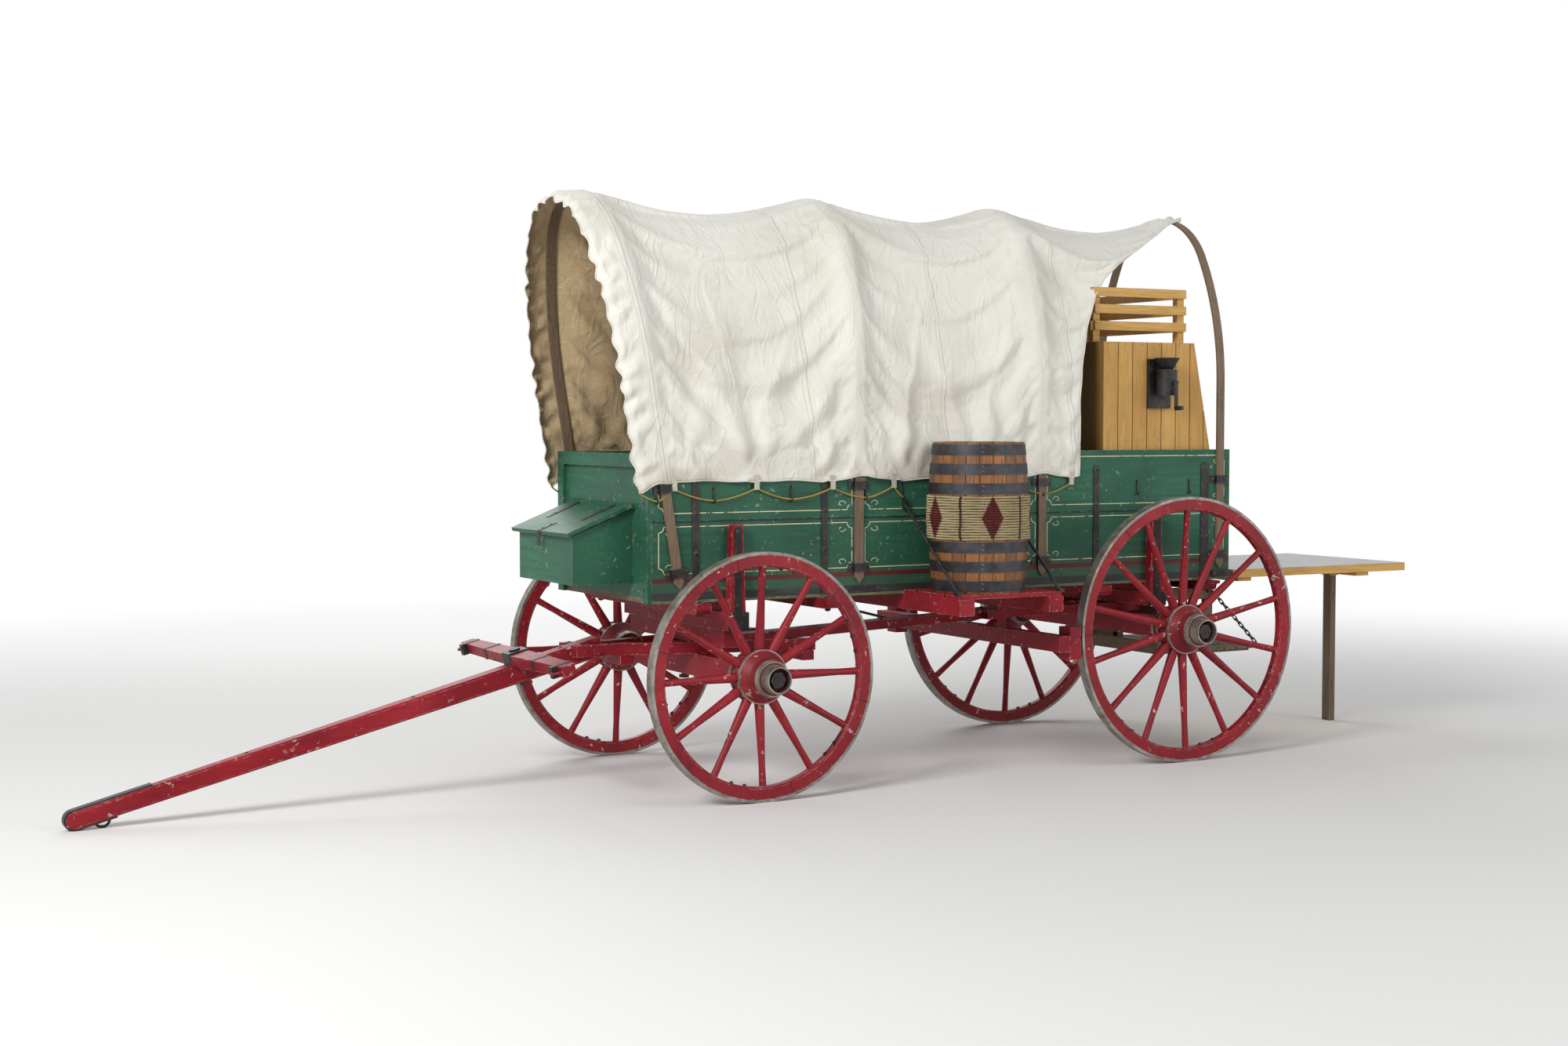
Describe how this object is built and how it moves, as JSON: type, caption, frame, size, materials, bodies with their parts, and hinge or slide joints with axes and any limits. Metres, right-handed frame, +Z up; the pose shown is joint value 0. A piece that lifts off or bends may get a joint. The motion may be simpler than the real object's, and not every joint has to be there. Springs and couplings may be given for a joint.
{
  "type": "covered chuck wagon",
  "caption": "Horse-drawn covered wagon with a canvas bonnet on bows, wooden spoked wheels, a pivoting front axle and pole, a chuck box with a fold-down table, and a water barrel.",
  "frame": {"origin": "on the ground, below the middle of the whole length and of the track, with the pole down and the table let down", "axes": "+X to the rear (the pole points to -X), +Y to the wagon's right-hand side, +Z up"},
  "size_m": [7.0595, 1.9452, 2.7775],
  "materials": {
    "gear_red": "worn dull crimson paint over oak and ash",
    "box_green": "dark green paint over boards, satin, with cream lines and a maroon band",
    "canvas": "off-white cotton duck, matte",
    "bow_wood": "bare weathered grey-brown ash",
    "pine": "varnished yellow pine boards",
    "weathered": "bare pale weathered boards",
    "barrel_oak": "oiled brown oak staves",
    "hoop_iron": "dark grey hoop iron, dull",
    "black_iron": "black painted wrought iron, dull",
    "tyre_iron": "worn bare tyre iron, rough",
    "rope": "cream cotton cord with maroon strands",
    "zinc": "dull grey zinc sheet, scratched"
  },
  "bodies": {
    "wagon": {"skeins_rear": "black_iron", "front_bolster": "gear_red", "reach": "gear_red", "king_bolt": "black_iron", "rear_axle": "gear_red", "rear_bolster": "gear_red", "rear_hounds": "gear_red", "box_floor": "weathered", "box_strips": "gear_red", "box_sills": "gear_red", "box_side_right": "box_green", "box_side_left": "box_green", "box_front": "box_green", "box_irons_right": "black_iron", "box_irons_left": "black_iron", "bow_1": "bow_wood", "bow_2": "bow_wood", "bow_3": "bow_wood", "bow_4": "bow_wood", "bonnet": "canvas", "chuck_box": "pine", "chuck_shelves": "pine", "crows_nest": "pine", "coffee_mill": "black_iron", "jockey_box": "box_green", "boot": "weathered", "barrel": "barrel_oak", "barrel_hoops": "hoop_iron", "barrel_wrap": "rope", "barrel_shelf": "gear_red", "barrel_rods": "black_iron", "brake_brackets": "black_iron"},
    "front_gear": {"front_axle": "gear_red", "skeins_front": "black_iron", "sand_board": "gear_red", "front_hounds": "gear_red"},
    "pole": {"pole": "gear_red", "pole_irons": "black_iron"},
    "doubletree": {"doubletree": "gear_red"},
    "wheel_front_left": {"wheel_front_left": "gear_red", "tyre_front_left": "tyre_iron"},
    "wheel_front_right": {"wheel_front_right": "gear_red", "tyre_front_right": "tyre_iron"},
    "wheel_rear_left": {"wheel_rear_left": "gear_red", "tyre_rear_left": "tyre_iron"},
    "wheel_rear_right": {"wheel_rear_right": "gear_red", "tyre_rear_right": "tyre_iron"},
    "jockey_lid": {"jockey_lid": "box_green"},
    "table": {"table": "pine", "table_sheet": "zinc"},
    "table_leg": {"table_leg": "weathered"},
    "boot_door": {"boot_door": "weathered"},
    "boot_chains": {"boot_chains": "black_iron"},
    "brake_lever": {"brake_lever": "black_iron"},
    "brake_rod": {"brake_rod": "black_iron"},
    "brake_beam": {"brake_beam": "gear_red"}
  },
  "joints": [
    {"name": "steering", "type": "hinge", "parent": "wagon", "child": "front_gear", "pos_m": [-0.66448, 0, 0.665], "axis": [0, 0, 1], "range_deg": [-20, 20]},
    {"name": "wheel_front_left_spin", "type": "hinge", "parent": "front_gear", "child": "wheel_front_left", "pos_m": [-0.66448, -0.7875, 0.559], "axis": [0, 1, 0], "continuous": true},
    {"name": "wheel_front_right_spin", "type": "hinge", "parent": "front_gear", "child": "wheel_front_right", "pos_m": [-0.66448, 0.7875, 0.559], "axis": [0, 1, 0], "continuous": true},
    {"name": "wheel_rear_left_spin", "type": "hinge", "parent": "wagon", "child": "wheel_rear_left", "pos_m": [1.73552, -0.7875, 0.6605], "axis": [0, 1, 0], "continuous": true},
    {"name": "wheel_rear_right_spin", "type": "hinge", "parent": "wagon", "child": "wheel_rear_right", "pos_m": [1.73552, 0.7875, 0.6605], "axis": [0, 1, 0], "continuous": true},
    {"name": "pole_lift", "type": "hinge", "parent": "front_gear", "child": "pole", "pos_m": [-1.16448, 0, 0.638], "axis": [0, 1, 0], "range_deg": [0, 38]},
    {"name": "doubletree_turn", "type": "hinge", "parent": "pole", "child": "doubletree", "pos_m": [-1.52071, 0, 0.61833], "axis": [-0.2477, 0, 0.9688], "range_deg": [-30, 30]},
    {"name": "jockey_lid_open", "type": "hinge", "parent": "wagon", "child": "jockey_lid", "pos_m": [-1.08648, 0, 1.314], "axis": [0, 1, 0], "range_deg": [0, 100]},
    {"name": "table_fold", "type": "hinge", "parent": "wagon", "child": "table", "pos_m": [2.28552, 0, 0.9], "axis": [0, -1, 0], "range_deg": [0, 101.13]},
    {"name": "table_leg_fold", "type": "hinge", "parent": "table", "child": "table_leg", "pos_m": [3.41552, 0, 0.8455], "axis": [0, 1, 0], "range_deg": [0, 88]},
    {"name": "boot_door_close", "type": "hinge", "parent": "wagon", "child": "boot_door", "pos_m": [2.24552, 0, 0.499], "axis": [0, -1, 0], "range_deg": [0, 90]},
    {"name": "boot_chain_swing", "type": "hinge", "parent": "wagon", "child": "boot_chains", "pos_m": [2.21652, 0, 0.806], "axis": [0, 1, 0], "range_deg": [0, 46.37]},
    {"name": "brake_lever_push", "type": "hinge", "parent": "wagon", "child": "brake_lever", "pos_m": [0.21552, 0.5465, 0.846], "axis": [0, -1, 0], "range_deg": [0, 20]},
    {"name": "brake_rod_turn", "type": "hinge", "parent": "brake_lever", "child": "brake_rod", "pos_m": [0.21552, 0.5595, 0.802], "axis": [0, -1, 0], "range_deg": [-20, 0]},
    {"name": "brake_beam_swing", "type": "hinge", "parent": "wagon", "child": "brake_beam", "pos_m": [0.95552, 0, 0.798], "axis": [0, -1, 0], "range_deg": [0, 5.18]}
  ],
  "couplings": [
    {"joint": "boot_chain_swing", "follows": "boot_door_close", "ratio": 0.5151},
    {"joint": "brake_rod_turn", "follows": "brake_lever_push", "ratio": -1},
    {"joint": "brake_beam_swing", "follows": "brake_lever_push", "ratio": 0.2586}
  ]
}
